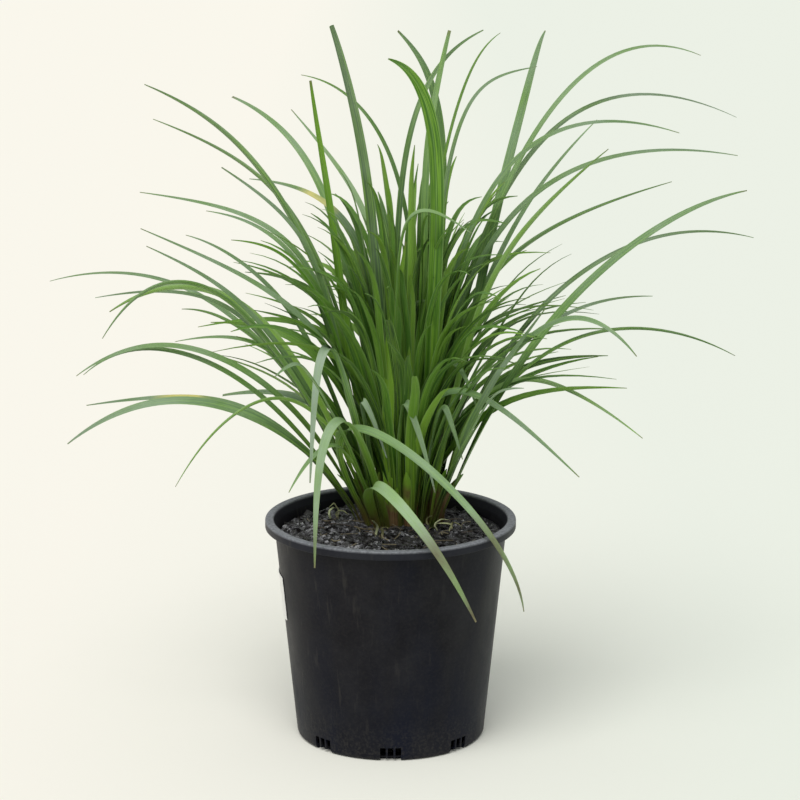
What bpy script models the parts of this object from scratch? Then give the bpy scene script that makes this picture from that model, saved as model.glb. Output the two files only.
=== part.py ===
"""Potted ornamental grass clump: a 200 mm nursery pot, its label, the potting mix and the plant.

Metres, +Z up. The origin is the centre of the pot's underside, on the ground, and -Y is the front.
Run with blender --background --python part.py, or from Blender's text editor.
"""

from math import atan2, cos, hypot, pi, radians, sin

import bmesh
import bpy
from mathutils import Vector

# Pot: one black moulding with a rolled rim
POT_HEIGHT = 0.178
RIM_RADIUS = 0.100
RIM_OPENING = 0.0931
RIM_EDGE = 0.0015
SKIRT_DROP = 0.007
WALL = 0.0015
WALL_TOP_RADIUS = 0.0925
BASE_RADIUS = 0.0757
BASE_THICKNESS = 0.002
FOOT_ROUND = 0.0034
TURN_STEPS = 48

# Drainage: notches round the foot of the wall, each with three slots between thin ribs
NOTCHES = 8
NOTCH_WIDTH = 0.0165
NOTCH_RISE = 0.0024
SLOTS = 3
SLOT_WIDTH = 0.0045
SLOT_PITCH = 0.006
SLOT_TOP = 0.011
CUT_DEPTH = 0.008

# Label: a blank sticker on the pot's left side
LABEL_FROM = 158
LABEL_TO = 196.5
LABEL_BOTTOM = 0.099
LABEL_TOP = 0.135
LABEL_THICKNESS = 0.0004
LABEL_COLUMNS = 10

# Potting mix: its flat top carries the plant and falls a little to the wall
GAP = 0.0003
MIX_TOP = 0.167
MIX_SIDE = 0.163
MIX_FLAT_RADIUS = 0.060

# Crown: the patch of mix that the leaves rise from. Flat leaves start further out than steep ones.
FOOT_LIFT = 0.0015
CROWN = Vector((0.012, 0.028, MIX_TOP + FOOT_LIFT))
CROWN_STRETCH = (1.2, 0.8)
FOOT_OUT_STEEP = 0.013
FOOT_OUT_SPREAD = 0.028

# Leaf blade: a keeled strip
LEAF_POINTS = 15
KEEL_DEPTH = 0.16
BLADE_THICKNESS = 0.16
FOOT_WIDTH = 0.55
WIDENING = 2.2
TIP_WIDTH = 0.12

# Surfaces: each one's colour and roughness
BLACK_PLASTIC = (0.018, 0.018, 0.021)
PLASTIC_ROUGHNESS = 0.45
LABEL_WHITE = (0.80, 0.80, 0.78)
PAPER_ROUGHNESS = 0.6
POTTING_MIX = (0.030, 0.026, 0.022)
MIX_ROUGHNESS = 0.9
LEAF_GREEN = (0.075, 0.20, 0.035)
LEAF_ROUGHNESS = 0.4
SHOOT_GREEN = (0.13, 0.19, 0.05)
SHOOT_ROUGHNESS = 0.5

# Shoots: the upright bundles of young leaves at the heart of the clump
SHOOT_OUT = 0.007
SHOOT_RADIUS = 0.0032
SHOOT_LEAN = 2.5
SHOOT_TIP = 0.2
SHOOT_POINTS = 7
# Name: (heading round the crown in degrees, height)
SHOOTS = {
    "shoot_centre": (None, 0.340),
    "shoot_left": (180, 0.300),
    "shoot_front": (270, 0.260),
    "shoot_right": (0, 0.310),
    "shoot_back": (90, 0.300),
}

# Leaves. A leaf leaves the crown at its heading (degrees, anticlockwise from +X), aims at its knee and
# ends at its tip; knee and tip are each given as out from the crown and up from the mix. The swing
# turns the tip's heading from the knee's. The fold is 0.6 for a soft arch and 1 for a sharp bend.
# Name: (heading, knee out, knee up, tip out, tip up, swing, fold, width)
ARCHING_LEAVES = {
    "left_leaf_1": (166, 0.070, 0.290, 0.215, 0.345, 0, 0.75, 0.007),
    "left_leaf_2": (152, 0.070, 0.265, 0.235, 0.310, 0, 0.85, 0.006),
    "left_leaf_3": (136, 0.060, 0.295, 0.200, 0.325, 0, 0.75, 0.007),
    "left_leaf_4": (125, 0.025, 0.240, 0.165, 0.315, 0, 0.95, 0.006),
    "left_leaf_5": (205, 0.075, 0.240, 0.155, 0.295, 0, 0.95, 0.006),
    "left_leaf_6": (148, 0.022, 0.265, 0.150, 0.265, 0, 0.85, 0.007),
    "left_leaf_7": (178, 0.070, 0.245, 0.210, 0.265, 0, 0.95, 0.006),
    "left_leaf_8": (217, 0.080, 0.230, 0.165, 0.245, 0, 0.85, 0.006),
    "left_leaf_9": (193, 0.055, 0.170, 0.210, 0.245, 0, 0.95, 0.007),
    "left_leaf_10": (199, 0.105, 0.180, 0.210, 0.235, 0, 0.85, 0.006),
    "left_leaf_11": (160, 0.135, 0.230, 0.315, 0.175, 0, 0.67, 0.005),
    "left_leaf_12": (184, 0.120, 0.205, 0.245, 0.185, 0, 0.85, 0.005),
    "left_leaf_13": (192, 0.115, 0.255, 0.235, 0.180, 0, 0.67, 0.008),
    "left_leaf_14": (209, 0.170, 0.300, 0.260, 0.175, 0, 0.67, 0.005),
    "left_leaf_15": (168, 0.105, 0.170, 0.185, 0.165, 0, 0.67, 0.005),
    "left_leaf_16": (210, 0.065, 0.165, 0.135, 0.185, 0, 0.95, 0.006),
    "left_leaf_17": (177, 0.135, 0.215, 0.265, 0.115, 0, 0.60, 0.006),
    "left_leaf_18": (191, 0.140, 0.175, 0.270, 0.075, 0, 0.60, 0.009),
    "left_leaf_19": (181, 0.115, 0.115, 0.255, 0.095, 0, 0.85, 0.007),
    "left_leaf_20": (148, 0.060, 0.110, 0.180, 0.080, 0, 0.75, 0.008),
    "left_leaf_21": (215.5, 0.100, 0.215, 0.215, 0.060, 0, 0.60, 0.004),
    "front_leaf_1": (223.5, 0.070, 0.110, 0.125, 0.045, 0, 0.75, 0.006),
    "front_leaf_2": (227, 0.095, 0.205, 0.120, 0.055, 5, 0.95, 0.009),
    "front_leaf_3": (244, 0.150, 0.235, 0.140, -0.005, -4, 0.60, 0.009),
    "front_leaf_4": (262, 0.050, 0.156, 0.061, 0.037, 30, 0.85, 0.007),
    "front_leaf_5": (236, 0.072, 0.139, 0.058, 0.065, 19, 0.95, 0.006),
    "front_leaf_6": (317, 0.032, 0.192, 0.076, 0.098, 2, 0.75, 0.007),
    "front_leaf_7": (288, 0.046, 0.164, 0.155, 0.055, 42, 0.85, 0.008),
    "upright_leaf_1": (188, 0.052, 0.190, 0.075, 0.355, 0, 0.67, 0.007),
    "upright_leaf_2": (215, 0.018, 0.275, 0.070, 0.400, 0, 0.60, 0.009),
    "upright_leaf_3": (64, 0.058, 0.335, 0.088, 0.355, 96, 0.70, 0.004),
    "upright_leaf_4": (299, 0.071, 0.360, 0.045, 0.375, -47, 0.85, 0.012),
    "upright_leaf_5": (55, 0.065, 0.340, 0.025, 0.390, 50, 0.95, 0.008),
    "upright_leaf_6": (240, 0.033, 0.125, 0.008, 0.228, 30, 0.95, 0.010),
    "upright_leaf_7": (258, 0.060, 0.285, 0.081, 0.244, 50, 0.95, 0.008),
    "upright_leaf_8": (40, 0.018, 0.310, 0.045, 0.390, 0, 0.95, 0.006),
    "upright_leaf_9": (120, 0.024, 0.355, 0.075, 0.389, -85, 0.85, 0.005),
    "right_leaf_1": (14, 0.095, 0.355, 0.113, 0.390, 0, 0.67, 0.009),
    "right_leaf_2": (329, 0.034, 0.353, 0.112, 0.370, 3, 0.95, 0.006),
    "right_leaf_3": (8, 0.060, 0.445, 0.235, 0.370, 0, 0.60, 0.005),
    "right_leaf_4": (24, 0.055, 0.420, 0.300, 0.310, 0, 0.67, 0.005),
    "right_leaf_5": (345, 0.019, 0.375, 0.215, 0.320, 0, 0.67, 0.0055),
    "right_leaf_6": (0, 0.021, 0.335, 0.260, 0.295, 0, 0.67, 0.006),
    "right_leaf_7": (324, 0.065, 0.220, 0.185, 0.315, 0, 0.85, 0.006),
    "right_leaf_8": (24, 0.040, 0.220, 0.240, 0.260, 0, 0.85, 0.0055),
    "right_leaf_9": (342, 0.115, 0.240, 0.270, 0.280, 0, 0.60, 0.009),
    "right_leaf_10": (6, 0.090, 0.275, 0.280, 0.225, 0, 0.60, 0.005),
    "right_leaf_11": (331, 0.105, 0.260, 0.200, 0.155, 0, 0.60, 0.007),
    "right_leaf_12": (312, 0.076, 0.102, 0.155, 0.195, 0, 0.95, 0.010),
    "right_leaf_13": (350, 0.060, 0.175, 0.190, 0.075, 0, 0.75, 0.0055),
}

# Two front leaves are folded over and hang across the rim, so each has two bends.
# Name: (heading, rise point, fall point, tip, width); the points are measured from the crown
FOLDED_LEAVES = {
    "front_leaf_8": (215, (-0.122, -0.058, 0.175), (0.078, -0.088, 0.050), (0.091, -0.106, -0.045), 0.009),
    "front_leaf_9": (239, (-0.047, -0.078, 0.075), (-0.002, -0.138, 0.070), (0.053, -0.138, -0.043), 0.010),
}


def clear_scene():
    for obj in list(bpy.data.objects):
        bpy.data.objects.remove(obj, do_unlink=True)


def new_collection(name):
    collection = bpy.data.collections.new(name)
    bpy.context.scene.collection.children.link(collection)
    return collection


def surface(name, colour, roughness):
    """A Principled BSDF material."""
    material = bpy.data.materials.new(name)
    material.use_nodes = True
    shader = material.node_tree.nodes["Principled BSDF"]
    shader.inputs["Base Color"].default_value = (*colour, 1)
    shader.inputs["Roughness"].default_value = roughness
    return material


def add_object(name, data, collection, material=None):
    obj = bpy.data.objects.new(name, data)
    collection.objects.link(obj)
    if material:
        data.materials.append(material)
    return obj


def make_helper(obj):
    obj.hide_render = True
    obj.display_type = "WIRE"


def wall_radius(z):
    """Radius of the tapered wall's outer face at height z."""
    rise = (z - FOOT_ROUND) / (POT_HEIGHT - SKIRT_DROP - FOOT_ROUND)
    return BASE_RADIUS + rise * (WALL_TOP_RADIUS - BASE_RADIUS)


def rounded(centre_r, centre_z, radius, start, end, steps):
    """Profile points of an arc, from angle start to angle end in degrees."""
    points = []
    for step in range(steps + 1):
        angle = radians(start + (end - start) * step / steps)
        points.append((centre_r + radius * cos(angle), centre_z + radius * sin(angle)))
    return points


def turned(name, profile, collection, material):
    """An outline of (radius, height) points turned about the Z axis."""
    mesh = bpy.data.meshes.new(name)
    edges = [(i, i + 1) for i in range(len(profile) - 1)]
    mesh.from_pydata([(r, 0, z) for r, z in profile], edges, [])
    obj = add_object(name, mesh, collection, material)
    screw = obj.modifiers.new("Turn", "SCREW")
    screw.steps = TURN_STEPS
    screw.render_steps = TURN_STEPS
    screw.use_merge_vertices = True
    screw.merge_threshold = 0.0001
    screw.use_smooth_shade = True
    return obj


def boxes(name, placements, size, collection):
    """One mesh of equal boxes, each placed at (angle, sideways, radius) about the Z axis, for a cutter."""
    mesh = bpy.data.meshes.new(name)
    bm = bmesh.new()
    for angle, sideways, radius in placements:
        out = Vector((cos(angle), sin(angle), 0))
        across = Vector((-sin(angle), cos(angle), 0))
        corners = bmesh.ops.create_cube(bm, size=1)["verts"]
        for vert in corners:
            depth, width, height = vert.co.x * size[0], vert.co.y * size[1], (vert.co.z + 0.5) * size[2]
            vert.co = out * (radius + depth) + across * (sideways + width) + Vector((0, 0, height - GAP))
    bm.to_mesh(mesh)
    bm.free()
    obj = add_object(name, mesh, collection)
    make_helper(obj)
    return obj


def cut(obj, cutter):
    boolean = obj.modifiers.new(cutter.name, "BOOLEAN")
    boolean.operation = "DIFFERENCE"
    boolean.solver = "EXACT"
    boolean.object = cutter


def build_pot(parts, cutters):
    """The tapered pot with its rolled rim, and the drainage notches cut through the foot of the wall."""
    skirt_bottom = POT_HEIGHT - SKIRT_DROP
    flange_under = POT_HEIGHT - WALL
    profile = [(0, BASE_THICKNESS), (BASE_RADIUS - WALL - BASE_THICKNESS, BASE_THICKNESS)]
    profile.append((wall_radius(2 * BASE_THICKNESS) - WALL, 2 * BASE_THICKNESS))
    profile.append((WALL_TOP_RADIUS - WALL, skirt_bottom))
    profile += rounded(RIM_OPENING + RIM_EDGE, POT_HEIGHT - RIM_EDGE, RIM_EDGE, 180, 90, 2)
    profile += rounded(RIM_RADIUS - RIM_EDGE, POT_HEIGHT - RIM_EDGE, RIM_EDGE, 90, 0, 3)
    profile += [(RIM_RADIUS, skirt_bottom), (RIM_RADIUS - WALL, skirt_bottom)]
    profile += [(RIM_RADIUS - WALL, flange_under), (WALL_TOP_RADIUS + WALL, flange_under)]
    profile.append((WALL_TOP_RADIUS, skirt_bottom))
    profile += rounded(BASE_RADIUS - FOOT_ROUND, FOOT_ROUND, FOOT_ROUND, 0, -90, 3)
    profile.append((0, 0))
    black = surface("black_plastic", BLACK_PLASTIC, PLASTIC_ROUGHNESS)
    pot = turned("pot", profile, parts, black)

    notch_angles = [2 * pi * i / NOTCHES - pi / 2 for i in range(NOTCHES)]
    notches = [(angle, 0, BASE_RADIUS) for angle in notch_angles]
    middle = (SLOTS - 1) / 2
    slots = [(angle, SLOT_PITCH * (i - middle), BASE_RADIUS) for angle in notch_angles for i in range(SLOTS)]
    cut(pot, boxes("notch_cutter", notches, (CUT_DEPTH, NOTCH_WIDTH, NOTCH_RISE + GAP), cutters))
    cut(pot, boxes("slot_cutter", slots, (CUT_DEPTH, SLOT_WIDTH, SLOT_TOP + GAP), cutters))


def build_label(parts):
    """The sticker: a grid wrapped on the wall, with a thickness."""
    mesh = bpy.data.meshes.new("pot_label")
    bm = bmesh.new()
    bmesh.ops.create_grid(bm, x_segments=LABEL_COLUMNS, y_segments=1, size=0.5)
    for vert in bm.verts:
        angle = radians(LABEL_FROM + (vert.co.x + 0.5) * (LABEL_TO - LABEL_FROM))
        z = LABEL_BOTTOM + (vert.co.y + 0.5) * (LABEL_TOP - LABEL_BOTTOM)
        radius = wall_radius(z) + GAP
        vert.co = Vector((radius * cos(angle), radius * sin(angle), z))
    bm.to_mesh(mesh)
    bm.free()
    white = surface("label_white", LABEL_WHITE, PAPER_ROUGHNESS)
    label = add_object("pot_label", mesh, parts, white)
    solidify = label.modifiers.new("Thickness", "SOLIDIFY")
    solidify.thickness = LABEL_THICKNESS
    solidify.offset = 1


def build_potting_mix(parts):
    """The mix that fills the pot, clear of its wall and base."""
    low = BASE_THICKNESS + GAP
    foot = 2 * BASE_THICKNESS + GAP
    inner = WALL + GAP
    profile = [(0, MIX_TOP), (MIX_FLAT_RADIUS, MIX_TOP), (wall_radius(MIX_SIDE) - inner, MIX_SIDE)]
    profile += [(wall_radius(foot) - inner, foot), (BASE_RADIUS - inner - 2 * BASE_THICKNESS, low), (0, low)]
    brown = surface("potting_mix", POTTING_MIX, MIX_ROUGHNESS)
    turned("potting_mix", profile, parts, brown)


def crown_point(heading, out, up):
    angle = radians(heading)
    return CROWN + Vector((out * cos(angle), out * sin(angle), up))


def foot_point(heading, lean):
    """Where a leaf of this lean (radians from upright) starts on the mix."""
    out = FOOT_OUT_STEEP + FOOT_OUT_SPREAD * sin(lean)
    angle = radians(heading)
    return CROWN + Vector((out * CROWN_STRETCH[0] * cos(angle), out * CROWN_STRETCH[1] * sin(angle), 0))


def arching_route(heading, knee_out, knee_up, tip_out, tip_up, swing, fold):
    """The four Bezier points of a leaf's midline."""
    foot = foot_point(heading, atan2(knee_out, knee_up))
    knee = crown_point(heading, knee_out, knee_up)
    tip = crown_point(heading + swing, tip_out, tip_up)
    return foot, foot.lerp(knee, fold), tip.lerp(knee, fold), tip


def folded_route(heading, rise, fall, tip):
    foot = foot_point(heading, atan2(hypot(rise[0], rise[1]), rise[2]))
    return foot, CROWN + Vector(rise), CROWN + Vector(fall), CROWN + Vector(tip)


def along(route, t):
    """The point at t, from 0 to 1, on a cubic Bezier curve."""
    a, b, c, d = route
    s = 1 - t
    return a * s**3 + b * 3 * s * s * t + c * 3 * s * t * t + d * t**3


def blade_width(t):
    """Width along the blade, as a share of the full width: narrow foot, long taper, blunt tip."""
    widening = min(FOOT_WIDTH + WIDENING * t, 1)
    return widening * (1 - (1 - TIP_WIDTH) * t**4)


def swept(name, points, widths, collection, material):
    """A curve object through the points, with its width at each."""
    curve = bpy.data.curves.new(name, "CURVE")
    curve.dimensions = "3D"
    curve.twist_mode = "MINIMUM"
    curve.use_fill_caps = True
    spline = curve.splines.new("POLY")
    spline.points.add(len(points) - 1)
    for target, point, width in zip(spline.points, points, widths):
        target.co = (*point, 1)
        target.radius = width
    return add_object(name, curve, collection, material)


def build_blade_section(cutters):
    """The keeled cross-section, one unit wide, that every leaf is swept with."""
    curve = bpy.data.curves.new("blade_section", "CURVE")
    curve.dimensions = "2D"
    spline = curve.splines.new("POLY")
    spline.points.add(3)
    spline.use_cyclic_u = True
    half = BLADE_THICKNESS / 2
    corners = [(-0.5, KEEL_DEPTH), (0, half), (0.5, KEEL_DEPTH), (0, -half)]
    for target, (x, y) in zip(spline.points, corners):
        target.co = (x, y, 0, 1)
    section = add_object("blade_section", curve, cutters)
    make_helper(section)
    return section


def build_leaves(parts, section):
    green = surface("leaf_green", LEAF_GREEN, LEAF_ROUGHNESS)
    routes = {name: (arching_route(*row[:-1]), row[-1]) for name, row in ARCHING_LEAVES.items()}
    routes |= {name: (folded_route(*row[:-1]), row[-1]) for name, row in FOLDED_LEAVES.items()}
    for name, (route, width) in routes.items():
        shares = [i / (LEAF_POINTS - 1) for i in range(LEAF_POINTS)]
        points = [along(route, t) for t in shares]
        leaf = swept(name, points, [width * blade_width(t) for t in shares], parts, green)
        leaf.data.bevel_mode = "OBJECT"
        leaf.data.bevel_object = section


def build_shoots(parts):
    sheath = surface("shoot_green", SHOOT_GREEN, SHOOT_ROUGHNESS)
    for name, (heading, height) in SHOOTS.items():
        out = 0 if heading is None else SHOOT_OUT
        reach = 0 if heading is None else height * sin(radians(SHOOT_LEAN))
        shares = [i / (SHOOT_POINTS - 1) for i in range(SHOOT_POINTS)]
        points = [crown_point(heading or 0, out + reach * t, height * t) for t in shares]
        shoot = swept(name, points, [1 - (1 - SHOOT_TIP) * t * t for t in shares], parts, sheath)
        shoot.data.bevel_depth = SHOOT_RADIUS
        shoot.data.bevel_resolution = 2


def main():
    clear_scene()
    parts = new_collection("potted_grass_clump")
    cutters = new_collection("cutters")
    build_pot(parts, cutters)
    build_label(parts)
    build_potting_mix(parts)
    build_shoots(parts)
    build_leaves(parts, build_blade_section(cutters))


main()
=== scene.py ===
"""Potted ornamental grass clump, as a set of Blender tools that dress the fixed model."""

import random
from math import atan2, cos, hypot, pi, radians, sin

import bmesh
import bpy
from bpy.props import FloatProperty, FloatVectorProperty, IntProperty, PointerProperty
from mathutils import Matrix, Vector


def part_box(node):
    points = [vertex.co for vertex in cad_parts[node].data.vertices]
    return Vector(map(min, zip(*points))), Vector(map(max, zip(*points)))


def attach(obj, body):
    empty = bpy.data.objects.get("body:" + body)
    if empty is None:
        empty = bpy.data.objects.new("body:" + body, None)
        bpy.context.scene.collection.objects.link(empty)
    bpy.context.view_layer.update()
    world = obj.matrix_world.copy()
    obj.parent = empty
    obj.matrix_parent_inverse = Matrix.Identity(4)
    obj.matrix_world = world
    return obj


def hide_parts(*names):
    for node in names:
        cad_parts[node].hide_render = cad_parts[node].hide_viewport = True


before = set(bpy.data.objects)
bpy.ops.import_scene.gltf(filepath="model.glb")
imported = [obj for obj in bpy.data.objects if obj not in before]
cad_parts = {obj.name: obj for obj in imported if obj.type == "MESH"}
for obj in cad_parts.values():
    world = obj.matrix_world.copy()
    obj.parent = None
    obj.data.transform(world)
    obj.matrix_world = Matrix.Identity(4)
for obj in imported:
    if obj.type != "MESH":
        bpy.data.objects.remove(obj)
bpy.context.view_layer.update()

bl_info = {
    "name": "Potted ornamental grass",
    "version": (1, 0, 0),
    "blender": (4, 5, 0),
    "location": "View3D > Sidebar > Potted Grass",
    "description": "Builds a strappy grass clump, its potting mix and its nursery pot",
    "category": "Object",
}

POT_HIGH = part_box("pot")[1]
MIX_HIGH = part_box("potting_mix")[1]

# The pot's outline, read from the fixed model where it can be
POT_HEIGHT = POT_HIGH.z
RIM_RADIUS = POT_HIGH.x
WALL = 0.0015
WALL_TOP_RADIUS = RIM_RADIUS - 0.0075
BASE_RADIUS = 0.0757
BASE_THICKNESS = 0.002
FOOT_ROUND = 0.0034
SKIRT_DROP = 0.007
RIM_OPENING = 0.0931
RIM_EDGE = 0.0015
SKIRT_ROUND = 0.0006
WALL_LEVELS = (0.03, 0.06, 0.09, 0.12, 0.15, 0.165)
NOTCHES = 8
NOTCH_SIZE = (0.013, 0.0165, 0.0034)
SLOTS = 3
SLOT_SIZE = (0.008, 0.0045, 0.012)
SLOT_PITCH = 0.006
BELOW_GROUND = 0.001

# The crown, which every leaf is measured from
FOOT_LIFT = 0.0015
CROWN = Vector((0.012, 0.028, MIX_HIGH.z + FOOT_LIFT))
CROWN_STRETCH = (1.2, 0.8)
FOOT_OUT_STEEP = 0.013
FOOT_OUT_SPREAD = 0.028

# Name: (heading, knee out, knee up, tip out, tip up, swing, fold, width)
ARCHING_LEAVES = {
    "left_leaf_1": (166, 0.070, 0.290, 0.215, 0.345, 0, 0.75, 0.007),
    "left_leaf_2": (152, 0.070, 0.265, 0.235, 0.310, 0, 0.85, 0.006),
    "left_leaf_3": (136, 0.060, 0.295, 0.200, 0.325, 0, 0.75, 0.007),
    "left_leaf_4": (125, 0.025, 0.240, 0.165, 0.315, 0, 0.95, 0.006),
    "left_leaf_5": (205, 0.075, 0.240, 0.155, 0.295, 0, 0.95, 0.006),
    "left_leaf_6": (148, 0.022, 0.265, 0.150, 0.265, 0, 0.85, 0.007),
    "left_leaf_7": (178, 0.070, 0.245, 0.210, 0.265, 0, 0.95, 0.006),
    "left_leaf_8": (217, 0.080, 0.230, 0.165, 0.245, 0, 0.85, 0.006),
    "left_leaf_9": (193, 0.055, 0.170, 0.210, 0.245, 0, 0.95, 0.007),
    "left_leaf_10": (199, 0.105, 0.180, 0.210, 0.235, 0, 0.85, 0.006),
    "left_leaf_11": (160, 0.135, 0.230, 0.315, 0.175, 0, 0.67, 0.005),
    "left_leaf_12": (184, 0.120, 0.205, 0.245, 0.185, 0, 0.85, 0.005),
    "left_leaf_13": (192, 0.115, 0.255, 0.235, 0.180, 0, 0.67, 0.008),
    "left_leaf_14": (209, 0.170, 0.300, 0.260, 0.175, 0, 0.67, 0.005),
    "left_leaf_15": (168, 0.105, 0.170, 0.185, 0.165, 0, 0.67, 0.005),
    "left_leaf_16": (210, 0.065, 0.165, 0.135, 0.185, 0, 0.95, 0.006),
    "left_leaf_17": (177, 0.135, 0.215, 0.265, 0.115, 0, 0.60, 0.006),
    "left_leaf_18": (191, 0.140, 0.175, 0.270, 0.075, 0, 0.60, 0.009),
    "left_leaf_19": (181, 0.115, 0.115, 0.255, 0.095, 0, 0.85, 0.007),
    "left_leaf_20": (148, 0.060, 0.110, 0.180, 0.080, 0, 0.75, 0.008),
    "left_leaf_21": (215.5, 0.100, 0.215, 0.215, 0.060, 0, 0.60, 0.004),
    "front_leaf_1": (223.5, 0.070, 0.110, 0.125, 0.045, 0, 0.75, 0.006),
    "front_leaf_2": (227, 0.095, 0.205, 0.120, 0.055, 5, 0.95, 0.009),
    "front_leaf_3": (244, 0.150, 0.235, 0.140, -0.005, -4, 0.60, 0.009),
    "front_leaf_4": (262, 0.050, 0.156, 0.061, 0.037, 30, 0.85, 0.007),
    "front_leaf_5": (236, 0.072, 0.139, 0.058, 0.065, 19, 0.95, 0.006),
    "front_leaf_6": (317, 0.032, 0.192, 0.076, 0.098, 2, 0.75, 0.007),
    "front_leaf_7": (288, 0.046, 0.164, 0.155, 0.055, 42, 0.85, 0.008),
    "upright_leaf_1": (188, 0.052, 0.190, 0.075, 0.355, 0, 0.67, 0.007),
    "upright_leaf_2": (215, 0.018, 0.275, 0.070, 0.400, 0, 0.60, 0.009),
    "upright_leaf_3": (64, 0.058, 0.335, 0.088, 0.355, 96, 0.70, 0.004),
    "upright_leaf_4": (299, 0.071, 0.360, 0.045, 0.375, -47, 0.85, 0.012),
    "upright_leaf_5": (55, 0.065, 0.340, 0.025, 0.390, 50, 0.95, 0.008),
    "upright_leaf_6": (240, 0.033, 0.125, 0.008, 0.228, 30, 0.95, 0.010),
    "upright_leaf_7": (258, 0.060, 0.285, 0.081, 0.244, 50, 0.95, 0.008),
    "upright_leaf_8": (40, 0.018, 0.310, 0.045, 0.390, 0, 0.95, 0.006),
    "upright_leaf_9": (120, 0.024, 0.355, 0.075, 0.389, -85, 0.85, 0.005),
    "right_leaf_1": (14, 0.095, 0.355, 0.113, 0.390, 0, 0.67, 0.009),
    "right_leaf_2": (329, 0.034, 0.353, 0.112, 0.370, 3, 0.95, 0.006),
    "right_leaf_3": (8, 0.060, 0.445, 0.235, 0.370, 0, 0.60, 0.005),
    "right_leaf_4": (24, 0.055, 0.420, 0.300, 0.310, 0, 0.67, 0.005),
    "right_leaf_5": (345, 0.019, 0.375, 0.215, 0.320, 0, 0.67, 0.0055),
    "right_leaf_6": (0, 0.021, 0.335, 0.260, 0.295, 0, 0.67, 0.006),
    "right_leaf_7": (324, 0.065, 0.220, 0.185, 0.315, 0, 0.85, 0.006),
    "right_leaf_8": (24, 0.040, 0.220, 0.240, 0.260, 0, 0.85, 0.0055),
    "right_leaf_9": (342, 0.115, 0.240, 0.270, 0.280, 0, 0.60, 0.009),
    "right_leaf_10": (6, 0.090, 0.275, 0.280, 0.225, 0, 0.60, 0.005),
    "right_leaf_11": (331, 0.105, 0.260, 0.200, 0.155, 0, 0.60, 0.007),
    "right_leaf_12": (312, 0.076, 0.102, 0.155, 0.195, 0, 0.95, 0.010),
    "right_leaf_13": (350, 0.060, 0.175, 0.190, 0.075, 0, 0.75, 0.0055),
}

# Name: (heading, rise point, fall point, tip, width)
FOLDED_LEAVES = {
    "front_leaf_8": (215, (-0.122, -0.058, 0.175), (0.078, -0.088, 0.050), (0.091, -0.106, -0.045), 0.009),
    "front_leaf_9": (239, (-0.047, -0.078, 0.075), (-0.002, -0.138, 0.070), (0.053, -0.138, -0.043), 0.010),
}

# Finer leaves that lie beside a longer one and end inside its reach, with the same columns
COMPANIONS = {
    "left_leaf_1": [(166, 0.075, 0.235, 0.165, 0.245, 0, 0.85, 0.005)],
    "left_leaf_9": [(176, 0.075, 0.205, 0.175, 0.230, 0, 0.67, 0.005)],
    "left_leaf_11": [(176, 0.160, 0.205, 0.260, 0.115, 0, 0.60, 0.005)],
    "left_leaf_17": [(158, 0.105, 0.155, 0.205, 0.130, 0, 0.85, 0.005)],
    "left_leaf_14": [(236, 0.135, 0.165, 0.175, 0.150, 0, 0.95, 0.006)],
    "front_leaf_6": [(296, 0.060, 0.130, 0.075, 0.065, 10, 0.95, 0.006)],
    "front_leaf_1": [(234, 0.030, 0.115, 0.030, 0.210, 0, 0.67, 0.005)],
    "front_leaf_7": [(302, 0.115, 0.130, 0.165, 0.140, 0, 0.95, 0.006)],
    "upright_leaf_6": [(330, 0.038, 0.250, 0.026, 0.223, -40, 0.85, 0.005)],
    "upright_leaf_7": [(260, 0.012, 0.200, 0.039, 0.178, 50, 0.85, 0.006)],
    "upright_leaf_5": [(55, 0.035, 0.350, 0.099, 0.385, -15, 0.75, 0.004)],
    "right_leaf_8": [(34, 0.045, 0.205, 0.190, 0.310, 0, 0.67, 0.005)],
    "right_leaf_10": [(14, 0.090, 0.225, 0.280, 0.120, 0, 0.60, 0.005)],
    "right_leaf_13": [(357, 0.065, 0.185, 0.195, 0.185, 0, 0.67, 0.005)],
}

# How far a leaf starts under its foot, and the way that a leaf turned to the front looks
DIP = 0.004
TO_FRONT = Vector((0, -0.95, 0.3))


# Edges sharper than these stay crisp on blades, the pot and the label
BLADE_SHARP = radians(65)
POT_SHARP = radians(35)
LABEL_SHARP = radians(40)


# Small helpers

def add_object(name, data):
    """A new object in the scene that holds the data."""
    obj = bpy.data.objects.new(name, data)
    bpy.context.scene.collection.objects.link(obj)
    return obj


def add_node(tree, kind, sockets=None, **settings):
    """A node with its settings; each socket is given a value, or another node's output."""
    node = tree.nodes.new(kind)
    for key, value in settings.items():
        setattr(node, key, value)
    for key, value in (sockets or {}).items():
        if isinstance(value, bpy.types.NodeSocket):
            tree.links.new(value, node.inputs[key])
        else:
            node.inputs[key].default_value = value
    return node


def maths(tree, operation, first, second=0.0, third=0.0):
    """The result of one sum on up to three values."""
    node = add_node(tree, "ShaderNodeMath", {0: first, 1: second, 2: third}, operation=operation)
    return node.outputs[0]


def times(tree, first, second):
    """Two values multiplied."""
    return maths(tree, "MULTIPLY", first, second)


def parts(tree, vector):
    """The x, y and z of a vector."""
    return add_node(tree, "ShaderNodeSeparateXYZ", {0: vector}).outputs


def joined(tree, x=0.0, y=0.0, z=0.0):
    """The vector that has these parts."""
    return add_node(tree, "ShaderNodeCombineXYZ", {0: x, 1: y, 2: z}).outputs[0]


def spread(tree, value, low, high, out_low=0.0, out_high=1.0, smooth=False):
    """The value's range low to high, stretched to another range and held at its ends."""
    sockets = {"Value": value, "From Min": low, "From Max": high, "To Min": out_low, "To Max": out_high}
    kind = "SMOOTHSTEP" if smooth else "LINEAR"
    return add_node(tree, "ShaderNodeMapRange", sockets, interpolation_type=kind).outputs["Result"]


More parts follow.
